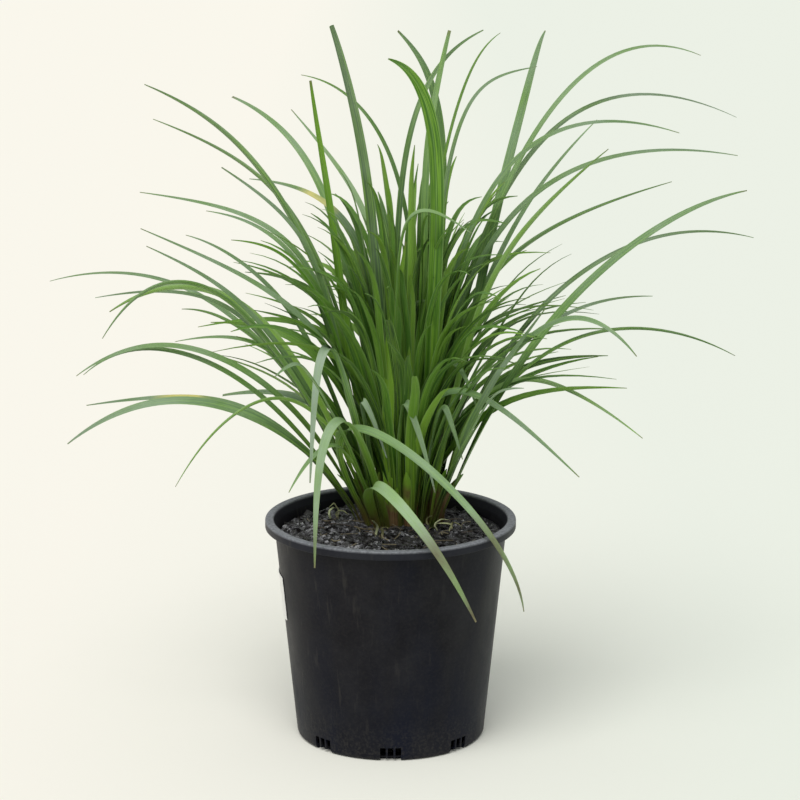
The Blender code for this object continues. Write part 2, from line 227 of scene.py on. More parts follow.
def blend_colours(tree, share, first, second, mode="MIX"):
    """Colours mixed by a share; a colour is three numbers or another node's output."""
    node = tree.nodes.new("ShaderNodeMix")
    node.data_type = "RGBA"
    node.blend_type = mode
    for index, value in ((0, share), (6, first), (7, second)):
        if isinstance(value, bpy.types.NodeSocket):
            tree.links.new(value, node.inputs[index])
        elif index:
            node.inputs[index].default_value = (*value, 1)
        else:
            node.inputs[index].default_value = value
    return node.outputs[2]


def coated(tree, colour, *coats):
    """A colour with coats laid over it in turn, each a pair of its share and its colour."""
    for share, coat in coats:
        colour = blend_colours(tree, share, colour, coat)
    return colour


def noise(tree, where, scale, detail=3.0, roughness=0.5):
    """Soft noise at these coordinates."""
    node = add_node(tree, "ShaderNodeTexNoise",
                    {"Vector": where, "Scale": scale, "Detail": detail, "Roughness": roughness})
    return node.outputs["Fac"]


def stretched(tree, where, scale):
    """Coordinates scaled unevenly, for a pattern that runs along one axis."""
    return add_node(tree, "ShaderNodeMapping", {"Vector": where, "Scale": scale}).outputs["Vector"]


def named(tree, name):
    """The value of a mesh attribute."""
    return add_node(tree, "ShaderNodeAttribute", attribute_name=name).outputs["Fac"]


def new_material(name):
    """An empty material with its Principled BSDF, and its Object coordinates."""
    material = bpy.data.materials.new(name)
    material.use_nodes = True
    tree = material.node_tree
    shader = tree.nodes["Principled BSDF"]
    where = add_node(tree, "ShaderNodeTexCoord").outputs["Object"]
    return material, tree, shader, where


def finish(tree, shader, colour, roughness, specular=None):
    """Gives the shader its colour, its roughness and, if stated, its specular level."""
    tree.links.new(colour, shader.inputs["Base Color"])
    if isinstance(roughness, bpy.types.NodeSocket):
        tree.links.new(roughness, shader.inputs["Roughness"])
    else:
        shader.inputs["Roughness"].default_value = roughness
    if specular is not None:
        shader.inputs["Specular IOR Level"].default_value = specular


def add_bump(tree, shader, height, distance, strength=1.0):
    """Raises the surface by a height that isn't in the mesh."""
    bump = add_node(tree, "ShaderNodeBump", {"Height": height, "Distance": distance, "Strength": strength})
    tree.links.new(bump.outputs["Normal"], shader.inputs["Normal"])


def new_tree(name, inputs):
    """A Geometry Nodes tree with a geometry in and out, and named inputs given as name: (kind, default)."""
    tree = bpy.data.node_groups.new(name, "GeometryNodeTree")
    tree.interface.new_socket("Geometry", in_out="INPUT", socket_type="NodeSocketGeometry")
    for label, (kind, default) in inputs.items():
        socket = tree.interface.new_socket(label, in_out="INPUT", socket_type="NodeSocket" + kind)
        if default is not None:
            socket.default_value = default
    tree.interface.new_socket("Geometry", in_out="OUTPUT", socket_type="NodeSocketGeometry")
    return tree, tree.nodes.new("NodeGroupInput").outputs


def end_tree(tree, geometry, material):
    """Ends a tree with real geometry that has its material."""
    real = add_node(tree, "GeometryNodeRealizeInstances", {"Geometry": geometry})
    coated = add_node(tree, "GeometryNodeSetMaterial", {"Geometry": real.outputs[0], "Material": material})
    add_node(tree, "NodeGroupOutput", {"Geometry": coated.outputs[0]})


def made_mesh(obj, tree, values, name):
    """The plain mesh object that a tree makes from obj, which is then removed."""
    modifier = obj.modifiers.new("Tree", "NODES")
    modifier.node_group = tree
    for item in tree.interface.items_tree:
        if item.in_out == "INPUT" and item.name in values:
            modifier[item.identifier] = values[item.name]
    return baked_object(obj, name)


def baked_object(obj, name):
    """The evaluated object as a plain mesh object at the origin."""
    bpy.context.view_layer.update()
    graph = bpy.context.evaluated_depsgraph_get()
    mesh = bpy.data.meshes.new_from_object(obj.evaluated_get(graph), depsgraph=graph)
    bpy.data.objects.remove(obj)
    mesh.name = name
    if not mesh.polygons:
        raise RuntimeError(f"{name} came out empty")
    return add_object(name, mesh)


def settle(piece, slot, *nodes):
    """Gives a finished piece its body and hides the nodes it stands for; the slot is not used."""
    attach(piece, "root")
    if nodes:
        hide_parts(*nodes)


# Leaf routes, by the same rule as the solids

def crown_point(heading, out, up):
    """The point this far out and up from the crown, on a heading in degrees."""
    angle = radians(heading)
    return CROWN + Vector((out * cos(angle), out * sin(angle), up))


def foot_point(heading, lean):
    """Where a leaf leaves the mix: flat leaves start further out than steep ones."""
    out = FOOT_OUT_STEEP + FOOT_OUT_SPREAD * sin(lean)
    angle = radians(heading)
    return CROWN + Vector((out * CROWN_STRETCH[0] * cos(angle), out * CROWN_STRETCH[1] * sin(angle), 0))


def arching_route(heading, knee_out, knee_up, tip_out, tip_up, swing, fold):
    """The four points of a leaf that rises to a knee and falls to its tip."""
    foot = foot_point(heading, atan2(knee_out, knee_up))
    knee = crown_point(heading, knee_out, knee_up)
    tip = crown_point(heading + swing, tip_out, tip_up)
    return foot, foot.lerp(knee, fold), tip.lerp(knee, fold), tip


def folded_route(heading, clear_of_painted_shade, fall, tip):
    """The four points of a leaf that bends twice."""
    foot = foot_point(heading, atan2(hypot(clear_of_painted_shade[0], clear_of_painted_shade[1]), clear_of_painted_shade[2]))
    return foot, CROWN + Vector(clear_of_painted_shade), CROWN + Vector(fall), CROWN + Vector(tip)


def along(route, t):
    """The point at share t of the smooth curve through a route's four points."""
    a, b, c, d = route
    s = 1 - t
    return a * s**3 + b * 3 * s * s * t + c * 3 * s * t * t + d * t**3


def blade_width(t, tip=0.05, foot=0.6, taper=4):
    """Width along the blade as a share of the full width: narrow foot, long taper, fine tip."""
    widening = min(foot + 2.0 * t, 1)
    return widening * (1 - (1 - tip) * t**taper)


def strand(route, width, facing=0.0, tip=0.05, steps=36, sway=0.0, start=0.0, foot=0.6, taper=4,
           tone=None):
    """One leaf: its points, widths, turn to the front and tone. It starts a little under the mix."""
    points, widths = [], []
    phase = start * 7
    for i in range(steps + 1):
        t = i / steps
        ripple = sway * t * (1 - t) * 4
        point = along(route, t) + Vector((ripple * sin(9 * t + phase), ripple * cos(7 * t + phase), 0))
        points.append(point)
        widths.append(width * blade_width(t, tip, foot, taper))
    points[0] -= Vector((0, 0, DIP))
    return points, widths, facing, tone


def sides_of(points, facing):
    """The way across the blade at each point, carried along without twist and turned to the front."""
    last = len(points) - 1
    tangents = [(points[min(i + 1, last)] - points[max(i - 1, 0)]).normalized() for i in range(last + 1)]
    side = tangents[1].cross(tangents[-1])
    if side.length < 0.05:
        side = Vector((-tangents[1].y, tangents[1].x, 0.001))
    sides = []
    for i, tangent in enumerate(tangents):
        side = (side - tangent * side.dot(tangent)).normalized()
        share = min(1, 2.5 * i / last)
        upper = tangent.cross(side) + TO_FRONT * facing * share
        sides.append((upper - tangent * upper.dot(tangent)).normalized().cross(tangent))
    return sides


def paths_of(name, strands, seed):
    """A mesh of plain chains that carry the width, the way across, how far along and a tone a leaf."""
    points, edges, sides = [], [], []
    values = {"width": [], "far": [], "tone": []}
    rng = random.Random(seed)
    for line, widths, facing, tone in strands:
        first = len(points)
        last = len(line) - 1
        shade = rng.random() if tone is None else tone
        points += line
        edges += [(first + i, first + i + 1) for i in range(last)]
        sides += sides_of(line, facing)
        values["width"] += widths
        values["far"] += [i / last for i in range(last + 1)]
        values["tone"] += [shade] * (last + 1)
    mesh = bpy.data.meshes.new(name)
    mesh.from_pydata(points, edges, [])
    for label, numbers in values.items():
        mesh.attributes.new(label, "FLOAT", "POINT").data.foreach_set("value", numbers)
    across = mesh.attributes.new("side", "FLOAT_VECTOR", "POINT")
    across.data.foreach_set("vector", [part for side in sides for part in side])
    return add_object(name, mesh)


def section_of(name, corners):
    """A closed flat outline, one unit wide, that a strand is swept with."""
    curve = bpy.data.curves.new(name, "CURVE")
    curve.dimensions = "2D"
    spline = curve.splines.new("POLY")
    spline.points.add(len(corners) - 1)
    spline.use_cyclic_u = True
    for target, (x, y) in zip(spline.points, corners):
        target.co = (x, y, 0, 1)
    section = add_object(name, curve)
    section.hide_render = True
    return section


def read_attribute(tree, name, kind):
    """A mesh attribute as a Geometry Nodes field."""
    node = add_node(tree, "GeometryNodeInputNamedAttribute", {"Name": name}, data_type=kind)
    return node.outputs["Attribute"]


def sweep_tree():
    """The tree that turns chains into blades, and marks how far across and whether on the underside."""
    tree, given = new_tree("sweep_blades", {
        "Section": ("Object", None), "Underside From": ("Int", 5), "Material": ("Material", None)})
    path = add_node(tree, "GeometryNodeMeshToCurve", {"Mesh": given["Geometry"]})
    faced = add_node(tree, "GeometryNodeSetCurveNormal", {"Curve": path.outputs[0]}, mode="FREE")
    tree.links.new(read_attribute(tree, "side", "FLOAT_VECTOR"), faced.inputs["Normal"])
    section = add_node(tree, "GeometryNodeObjectInfo", {"Object": given["Section"]})
    across = parts(tree, add_node(tree, "GeometryNodeInputPosition").outputs[0])[0]
    ruled = add_node(tree, "GeometryNodeStoreNamedAttribute",
                     {"Geometry": section.outputs["Geometry"], "Name": "across", "Value": across},
                     data_type="FLOAT")
    index = add_node(tree, "GeometryNodeInputIndex").outputs[0]
    below = maths(tree, "GREATER_THAN", index, maths(tree, "SUBTRACT", given["Underside From"], 0.5))
    sided = add_node(tree, "GeometryNodeStoreNamedAttribute",
                     {"Geometry": ruled.outputs[0], "Name": "under", "Value": below}, data_type="FLOAT")
    swept = add_node(tree, "GeometryNodeCurveToMesh",
                     {"Curve": faced.outputs[0], "Profile Curve": sided.outputs[0],
                      "Scale": read_attribute(tree, "width", "FLOAT"), "Fill Caps": True})
    smooth = add_node(tree, "GeometryNodeSetShadeSmooth", {"Geometry": swept.outputs[0]})
    end_tree(tree, smooth.outputs[0], given["Material"])
    return tree


def swept_piece(name, strands, section, material, seed, underside=5):
    """Blades swept along their strands, joined in one piece."""
    tree = bpy.data.node_groups.get("sweep_blades") or sweep_tree()
    values = {"Section": section, "Underside From": underside, "Material": material}
    piece = made_mesh(paths_of(name + "_paths", strands, seed), tree, values, name)
    piece.data.set_sharp_from_angle(angle=BLADE_SHARP)
    return piece


# Materials

def leaf_material(look, name, bloom_and_sheen, age=0.0):
    """Strappy leaf: fine lengthwise veins, pale midrib, grey bloom with painted sheen on the upper faces,
    painted shade low in the clump, brown foot and a dry tip.
    """
    material, tree, shader, where = new_material(name)
    far, across, tone, under = [named(tree, label) for label in ("far", "across", "tone", "under")]
    height = parts(tree, where)[2]
    streak_at = joined(tree, times(tree, across, 5.0), times(tree, far, 1.6), times(tree, tone, 40.0))
    streaks = noise(tree, streak_at, 2.4, 4.0, 0.6)
    patches = noise(tree, where, 28.0)
    veins = maths(tree, "SINE", times(tree, across, 88.0))
    off_middle = maths(tree, "ABSOLUTE", across)
    # Painted shade: the leaves keep the deep green low in the clump and near their feet, and reach their leaf
    # green higher up
    clear_of_painted_shade = spread(tree, height, MIX_HIGH.z + 0.005, MIX_HIGH.z + 0.15, smooth=True)
    clear_of_painted_shade = maths(tree, "MAXIMUM", clear_of_painted_shade, spread(tree, far, 0.1, 0.4))
    # Grey bloom, partly a real pale coating and partly painted sheen on the upper faces: it grows along the
    # leaf and higher up, and is weaker on the undersides
    bloom_and_sheen_share = times(tree, spread(tree, far, 0.12, 0.75, 0.25),
                    spread(tree, patches, 0.3, 0.65, 0.45 * bloom_and_sheen, bloom_and_sheen))
    bloom_and_sheen_share = times(tree, times(tree, bloom_and_sheen_share, clear_of_painted_shade), spread(tree, under, 0, 1, 1, 0.4))
    yellow_at = times(tree, spread(tree, far, 0.64, 0.70), spread(tree, far, 0.78, 0.84, 1.0, 0.0))
    foot = times(tree, spread(tree, height, MIX_HIGH.z + 0.006, MIX_HIGH.z + 0.034, 1.0, 0.0),
                 spread(tree, patches, 0.35, 0.6, 0.25))
    dry = times(tree, spread(tree, far, 0.975, 1.0, 0, 0.6), spread(tree, tone, 0.1, 0.5))
    colour = coated(
        tree, look.deep_green_and_painted_shade_colour,
        (clear_of_painted_shade, look.leaf_colour),
        (spread(tree, tone, 0.0, 0.45, 0.88, 0), look.deep_green_and_painted_shade_colour),
        (spread(tree, tone, 0.55, 1.0, 0, 0.9), look.fresh_colour),
        (spread(tree, streaks, 0.47, 0.60, 0, 0.7), look.fresh_colour),
        (bloom_and_sheen_share, look.bloom_and_sheen_colour),
        (spread(tree, off_middle, 0.0, 0.07, 0.35, 0.0), look.rib_colour),
        (spread(tree, off_middle, 0.40, 0.49, 0.0, 0.55), look.rib_colour),
        (spread(tree, veins, -1.0, 1.0, 0.0, 0.30), look.deep_green_and_painted_shade_colour),
        (times(tree, yellow_at, spread(tree, patches, 0.3, 0.5, 0.2 * age, age)), look.yellow_colour),
        (foot, look.sheath_colour),
        (dry, look.dry_colour))
    finish(tree, shader, colour, spread(tree, streaks, 0.3, 0.7, 0.36, 0.52), 0.34)
    add_bump(tree, shader, maths(tree, "ADD", veins, streaks), 0.00012, 0.6)
    return material


def sheath_material(look):
    """Old leaf bases: brown and papery at the foot, green higher up, with lengthwise fibres."""
    material, tree, shader, where = new_material("sheath")
    fibres = noise(tree, stretched(tree, where, (420.0, 420.0, 26.0)), 1.0, 4.0, 0.65)
    patches = noise(tree, where, 60.0)
    edge = maths(tree, "ADD", parts(tree, where)[2], spread(tree, patches, 0.3, 0.7, -0.018, 0.018))
    green = blend_colours(tree, named(tree, "tone"), look.leaf_colour, look.fresh_colour)
    colour = coated(tree, look.sheath_colour, (spread(tree, fibres, 0.35, 0.65), look.husk_colour),
                    (spread(tree, edge, MIX_HIGH.z + 0.012, MIX_HIGH.z + 0.045), green))
    finish(tree, shader, colour, spread(tree, fibres, 0.3, 0.7, 0.5, 0.75))
    add_bump(tree, shader, fibres, 0.0003, 0.7)
    return material


def straw_material(look):
    """Dry fibres and pale sprouts, streaked with a darker colour."""
    material, tree, shader, where = new_material("straw")
    streaks = noise(tree, where, 500.0, 2.0)
    colour = coated(tree, look.fibre_colour, (named(tree, "tone"), look.straw_colour),
                    (spread(tree, streaks, 0.4, 0.7, 0.0, 0.6), look.chip_colour))
    finish(tree, shader, colour, 0.7)
    add_bump(tree, shader, streaks, 0.0002)
    return material


def mix_material(look, name, dark, light, sparkle):
    """Damp potting mix: clods of dark colours with grey flecks that are partly painted glints, and wet glints
    where it is smooth.
    """
    material, tree, shader, where = new_material(name)
    clods = noise(tree, where, 190.0, 5.0, 0.65)
    broad = noise(tree, where, 60.0, 2.0)
    flecks_and_glints = noise(tree, where, 900.0, 2.0)
    colour = coated(tree, dark, (spread(tree, clods, 0.46, 0.66), light),
                    (spread(tree, broad, 0.4, 0.65, 0.0, 0.5), look.bark_colour),
                    # Pale flecks, partly mineral grains and partly painted glints
                    (spread(tree, flecks_and_glints, 0.62, 0.74, 0.0, sparkle), look.fleck_and_glint_colour))
    finish(tree, shader, colour, spread(tree, broad, 0.35, 0.65, 0.25, 0.7))
    add_bump(tree, shader, maths(tree, "ADD", clods, flecks_and_glints), 0.0008, 0.9)
    return material


def pot_material(look):
    """Black moulded plastic: satin, faintly pebbled, with scuffs, dust and water marks, and a painted
    highlight along the top of the rim.
    """
    material, tree, shader, where = new_material("pot_plastic")
    sideways, _, height = parts(tree, where)
    mottle = noise(tree, where, 38.0, 5.0, 0.6)
    smears = noise(tree, stretched(tree, where, (1.0, 1.0, 0.35)), 26.0, 4.0, 0.55)
    scuffs = noise(tree, stretched(tree, where, (1.0, 1.0, 0.10)), 210.0, 3.0, 0.6)
    pebbles = noise(tree, where, 1300.0, 2.0)
    dust = noise(tree, where, 420.0, 3.0, 0.7)
    left = spread(tree, sideways, -0.10, 0.02, 1.0, 0.0)
    marks = times(tree, spread(tree, smears, 0.5, 0.72, 0.0, 0.9), spread(tree, left, 0.0, 1.0, 0.55, 0.15))
    # Darker towards the bottom, in blotches
    darker_low = times(tree, spread(tree, height, 0.02, 0.10, 0.8, 0.0), spread(tree, smears, 0.4, 0.62, 0.3))
    worn = times(tree, spread(tree, scuffs, 0.6, 0.72), spread(tree, left, 0.0, 1.0, 0.15, 0.6))
    low = maths(tree, "ADD", spread(tree, height, 0.0, 0.035, 0.5, 0.0), 0.12)
    band_foot = POT_HEIGHT - SKIRT_DROP
    # Painted highlight: a pale line along the top of the rim, broken up by dust
    painted_lip_highlight = times(tree, spread(tree, height, POT_HEIGHT - 0.0022, POT_HEIGHT - 0.0004),
                spread(tree, dust, 0.3, 0.6, 0.45))
    colour = coated(
        tree, look.plastic_colour,
        (spread(tree, mottle, 0.35, 0.68), look.dust_colour),
        (marks, look.water_mark_colour),
        (darker_low, look.water_mark_colour),
        (worn, look.scuff_colour),
        (times(tree, spread(tree, dust, 0.45, 0.7), low), look.scuff_colour),
        (spread(tree, height, band_foot - 0.0005, band_foot, 0, 0.35), look.band_colour),
        (painted_lip_highlight, look.painted_lip_highlight_colour))
    rough = maths(tree, "ADD", spread(tree, mottle, 0.3, 0.7, 0.38, 0.50),
                  spread(tree, smears, 0.45, 0.7, 0.0, 0.12))
    finish(tree, shader, colour, rough, 0.14)
    add_bump(tree, shader, maths(tree, "ADD", times(tree, pebbles, 0.35), mottle), 0.0004, 0.5)
    return material


def label_material(look):
    """Matt white paper, a little stained."""
    material, tree, shader, where = new_material("label_paper")
    fibre = noise(tree, where, 700.0)
    stain = noise(tree, where, 45.0)
    colour = coated(tree, look.paper_colour,
                    (spread(tree, stain, 0.5, 0.75, 0.0, 0.35), look.paper_stain_colour),
                    (spread(tree, fibre, 0.5, 0.75, 0.0, 0.15), look.paper_stain_colour))
    finish(tree, shader, colour, spread(tree, fibre, 0.3, 0.7, 0.45, 0.6))
    add_bump(tree, shader, fibre, 0.00005)
    return material


def floor_material(look):
    """Pale studio paper, warm on the left and faintly green on the right."""
    material, tree, shader, where = new_material("studio_floor")
    sideways = parts(tree, where)[0]
    colour = coated(tree, look.floor_colour, (spread(tree, sideways, -0.32, 0.32), look.floor_shade))
    finish(tree, shader, colour, 0.9, 0.0)
    return material


# Settings that a user may change

def tint(name, description, default):
    """A colour setting."""
    return FloatVectorProperty(name=name, description=description, default=default, subtype="COLOR",
                               min=0.0, max=1.0, size=3)


class PottedGrassLeafLook(bpy.types.PropertyGroup):
    # Deep green is a darker leaf tone, and low in the clump it is also painted shade
    deep_green_and_painted_shade_colour: tint("Deep green", "Leaf colour low in the clump", (0.006, 0.036, 0.001))
    leaf_colour: tint("Leaf green", "Main colour of the leaves", (0.078, 0.235, 0.011))
    fresh_colour: tint("Fresh green", "Colour of young and sunlit leaves", (0.285, 0.54, 0.045))
    # The bloom colour is partly painted sheen on the upper faces of the open leaves
    bloom_and_sheen_colour: tint("Bloom", "Grey-green bloom on the open leaves", (0.43, 0.54, 0.43))
    rib_colour: tint("Midrib", "Line down the middle of a leaf", (0.33, 0.52, 0.17))
    yellow_colour: tint("Yellow patch", "Colour of ageing patches", (0.64, 0.6, 0.22))
    dry_colour: tint("Dry tip", "Colour of the dry leaf tips", (0.23, 0.18, 0.09))
    sheath_colour: tint("Sheath", "Reddish-brown leaf bases", (0.11, 0.055, 0.02))
    husk_colour: tint("Husk", "Pale papery husk on the bases", (0.23, 0.155, 0.065))
    fibre_colour: tint("Dry fibre", "Dry stubs on the mix", (0.34, 0.32, 0.16))
    straw_colour: tint("Pale sprout", "Pale young sprouts on the mix", (0.56, 0.62, 0.4))
    chip_colour: tint("Sprout streak", "Darker streaks of the sprouts", (0.16, 0.22, 0.06))
    inner_leaves: IntProperty(name="Inner leaves", description="Fine leaves in each bundle at the heart",
                              default=38, min=1, max=200)


class PottedGrassMixLook(bpy.types.PropertyGroup):
    dark_colour: tint("Dark mix", "Darkest crumbs of the mix", (0.003, 0.003, 0.004))
    light_colour: tint("Light mix", "Paler crumbs of the mix", (0.016, 0.016, 0.019))
    bark_colour: tint("Bark", "Composted bark", (0.009, 0.007, 0.006))
    chip_colour: tint("Chips", "Weathered chip faces", (0.085, 0.085, 0.095))
    # Colour of the pale flecks and of the painted glints of the mix
    fleck_and_glint_colour: tint("Flecks", "Pale mineral flecks", (0.5, 0.5, 0.54))
    pearl_colour: tint("Pearls", "White expanded grains", (0.42, 0.43, 0.42))
    fibre_colour: tint("Fibre", "Brown fibres", (0.05, 0.032, 0.018))
    straw_colour: tint("Straw", "Pale straw", (0.26, 0.22, 0.13))
    chip_density: FloatProperty(name="Chip density", description="Chips on each square metre of mix",
                                default=21000.0, min=0.0)
    grain_density: FloatProperty(name="Grain density", description="Grains on each square metre of mix",
                                 default=150000.0, min=0.0)
    clod_height: FloatProperty(name="Clod height", description="Height of the lumps in the mix",
                               default=0.005, min=0.0, unit="LENGTH", subtype="DISTANCE")


class PottedGrassPotLook(bpy.types.PropertyGroup):
    plastic_colour: tint("Plastic", "Black plastic", (0.0035, 0.0033, 0.006))
    dust_colour: tint("Dust", "Fine dust on the plastic", (0.012, 0.012, 0.0155))
    water_mark_colour: tint("Water marks", "Bluish dried water marks", (0.002, 0.004, 0.014))
    scuff_colour: tint("Scuffs", "Pale scuffs and grime", (0.045, 0.042, 0.038))
    band_colour: tint("Rim band", "Dusty bluish band of the rim", (0.024, 0.027, 0.038))
    # Pale line painted along the top of the rim as a highlight
    painted_lip_highlight_colour: tint("Worn lip", "Pale wear along the top of the rim", (0.22, 0.23, 0.255))
    paper_colour: tint("Label", "Blank label", (0.86, 0.86, 0.84))
    paper_stain_colour: tint("Label stain", "Weathering on the label", (0.62, 0.6, 0.54))
    turn_steps: IntProperty(name="Turn steps", description="Facets round the pot",
                            default=160, min=24, max=512)


class PottedGrassStage(bpy.types.PropertyGroup):
    floor_colour: tint("Floor left", "Warm side of the floor", (0.9, 0.872, 0.812))
    floor_shade: tint("Floor right", "Greener side of the floor", (0.79, 0.822, 0.762))
    key_strength: FloatProperty(name="Key light", description="Strength of the key light",
                                default=2.25, min=0.0)
    key_softness: FloatProperty(name="Key softness", description="How wide the key light looks from the pot",
                                default=radians(48), min=0.0, unit="ROTATION", subtype="ANGLE")
    sky_strength: FloatProperty(name="Sky", description="Strength of the even light all round",
                                default=0.47, min=0.0)
    lens: FloatProperty(name="Lens", description="Focal length of the camera in millimetres",
                        default=119.05, min=1.0)
    camera_height: FloatProperty(name="Camera height", description="Height of the camera",
                                 default=0.748, unit="LENGTH", subtype="DISTANCE")
    camera_distance: FloatProperty(name="Camera distance", description="Distance in front of the pot",
                                   default=2.034, unit="LENGTH", subtype="DISTANCE")
    camera_pitch: FloatProperty(name="Camera pitch", description="How far the camera looks down",
                                default=radians(13.13), unit="ROTATION", subtype="ANGLE")


# Pieces

def wall_radius(z):
    """Radius of the wall's outer face at a height."""
    clear_of_painted_shade = (z - FOOT_ROUND) / (POT_HEIGHT - SKIRT_DROP - FOOT_ROUND)
    return BASE_RADIUS + clear_of_painted_shade * (WALL_TOP_RADIUS - BASE_RADIUS)


def arc(centre_r, centre_z, radius, start, end, steps):
    """Outline points round a quarter or so of a circle, in degrees."""
    points = []
    for step in range(steps + 1):
        angle = radians(start + (end - start) * step / steps)
        points.append((centre_r + radius * cos(angle), centre_z + radius * sin(angle)))
    return points


def turned(name, profile, steps):
    """An outline of radius and height turned round the pot's axis."""
    mesh = bpy.data.meshes.new(name)
    mesh.from_pydata([(r, 0, z) for r, z in profile], [(i, i + 1) for i in range(len(profile) - 1)], [])
    obj = add_object(name, mesh)
    screw = obj.modifiers.new("Turn", "SCREW")
    screw.steps = steps
    screw.render_steps = steps
    screw.use_merge_vertices = True
    screw.merge_threshold = 0.00005
    screw.use_smooth_shade = True
    return obj


def ring_tree():
    """The tree that sets one box at each of a ring of places, facing out, for the drainage cutters."""
    tree, given = new_tree("ring_of_boxes", {
        "Count": ("Int", 8), "Radius": ("Float", 0.08), "Size": ("Vector", (0.01, 0.01, 0.01)),
        "Sideways": ("Float", 0.0), "Material": ("Material", None)})
    turn = add_node(tree, "GeometryNodeInputIndex").outputs[0]
    share = maths(tree, "DIVIDE", turn, given["Count"])
    angle = maths(tree, "MULTIPLY_ADD", share, 2 * pi, -pi / 2)
    lift = maths(tree, "MULTIPLY_ADD", parts(tree, given["Size"])[2], 0.5, -BELOW_GROUND)
    cosine, sine = maths(tree, "COSINE", angle), maths(tree, "SINE", angle)
    x = maths(tree, "SUBTRACT", times(tree, cosine, given["Radius"]), times(tree, sine, given["Sideways"]))
    y = maths(tree, "ADD", times(tree, sine, given["Radius"]), times(tree, cosine, given["Sideways"]))
    place = joined(tree, x, y, lift)
    spots = add_node(tree, "GeometryNodePoints", {"Count": given["Count"], "Position": place})
    box = add_node(tree, "GeometryNodeMeshCube", {"Size": given["Size"]})
    facing = add_node(tree, "FunctionNodeEulerToRotation", {0: joined(tree, z=angle)})
    boxes = add_node(tree, "GeometryNodeInstanceOnPoints",
                     {"Points": spots.outputs[0], "Instance": box.outputs[0], "Rotation": facing.outputs[0]})
    end_tree(tree, boxes.outputs[0], given["Material"])
    return tree


def cut_by(obj, cutter):
    """Cuts one object with another."""
    boolean = obj.modifiers.new(cutter.name, "BOOLEAN")
    boolean.operation = "DIFFERENCE"
    boolean.solver = "EXACT"
    boolean.object = cutter
    cutter.hide_render = True


class POTTED_GRASS_OT_pot(bpy.types.Operator):
    """Build the black nursery pot with its rolled rim and drainage slots"""
    bl_idname = "potted_grass.pot"
    bl_label = "Pot"

    def execute(self, context):
        look = context.scene.potted_grass_pot
        skirt_bottom = POT_HEIGHT - SKIRT_DROP
        flange_under = POT_HEIGHT - WALL
        middle = 0.03
        soft = 0.0005
        profile = [(0, BASE_THICKNESS), (middle, BASE_THICKNESS)]
        profile += [(BASE_RADIUS - WALL - 0.004, BASE_THICKNESS), (wall_radius(0.004) - WALL, 0.0045)]
        profile += [(wall_radius(z) - WALL, z) for z in WALL_LEVELS]
        profile.append((WALL_TOP_RADIUS - WALL, skirt_bottom))
        profile += arc(RIM_OPENING + RIM_EDGE, POT_HEIGHT - RIM_EDGE, RIM_EDGE, 180, 90, 5)
        profile += arc(RIM_RADIUS - RIM_EDGE, POT_HEIGHT - RIM_EDGE, RIM_EDGE, 90, 0, 5)
        profile += arc(RIM_RADIUS - SKIRT_ROUND, skirt_bottom + SKIRT_ROUND, SKIRT_ROUND, 0, -90, 3)
        profile += arc(RIM_RADIUS - WALL + SKIRT_ROUND, skirt_bottom + SKIRT_ROUND, SKIRT_ROUND, -90, -180, 3)
        profile += [(RIM_RADIUS - WALL, flange_under - soft), (RIM_RADIUS - WALL - soft, flange_under)]
        profile += [(WALL_TOP_RADIUS + WALL, flange_under), (WALL_TOP_RADIUS + 0.0003, skirt_bottom)]
        profile += [(wall_radius(z), z) for z in (*reversed(WALL_LEVELS), 0.012)]
        profile += arc(BASE_RADIUS - FOOT_ROUND, FOOT_ROUND, FOOT_ROUND, 0, -90, 6)
        profile += [(middle, 0), (0, 0)]
        pot = turned("nursery_pot_turned", profile, look.turn_steps)
        plastic = pot_material(look)
        tree = ring_tree()
        cutters = [("notches", NOTCH_SIZE, 0.0)]
        cutters += [(f"slots_{i}", SLOT_SIZE, SLOT_PITCH * (i - 1)) for i in range(SLOTS)]
        for name, size, sideways in cutters:
            blank = add_object(name + "_blank", bpy.data.meshes.new(name))
            values = {"Count": NOTCHES, "Radius": BASE_RADIUS, "Size": size, "Sideways": sideways,
                      "Material": plastic}
            cut_by(pot, made_mesh(blank, tree, values, name + "_cutter"))
        pot.data.materials.append(plastic)
        piece = baked_object(pot, "nursery_pot")
        for name, _, _ in cutters:
            bpy.data.objects.remove(bpy.data.objects[name + "_cutter"])
        piece.data.shade_smooth()
        piece.data.set_sharp_from_angle(angle=POT_SHARP)
        settle(piece, "black_plastic", "pot")
        return {"FINISHED"}


LABEL_THICKNESS = 0.00035
LABEL_STANDOFF = 0.0004
LABEL_CRINKLE = 0.00012


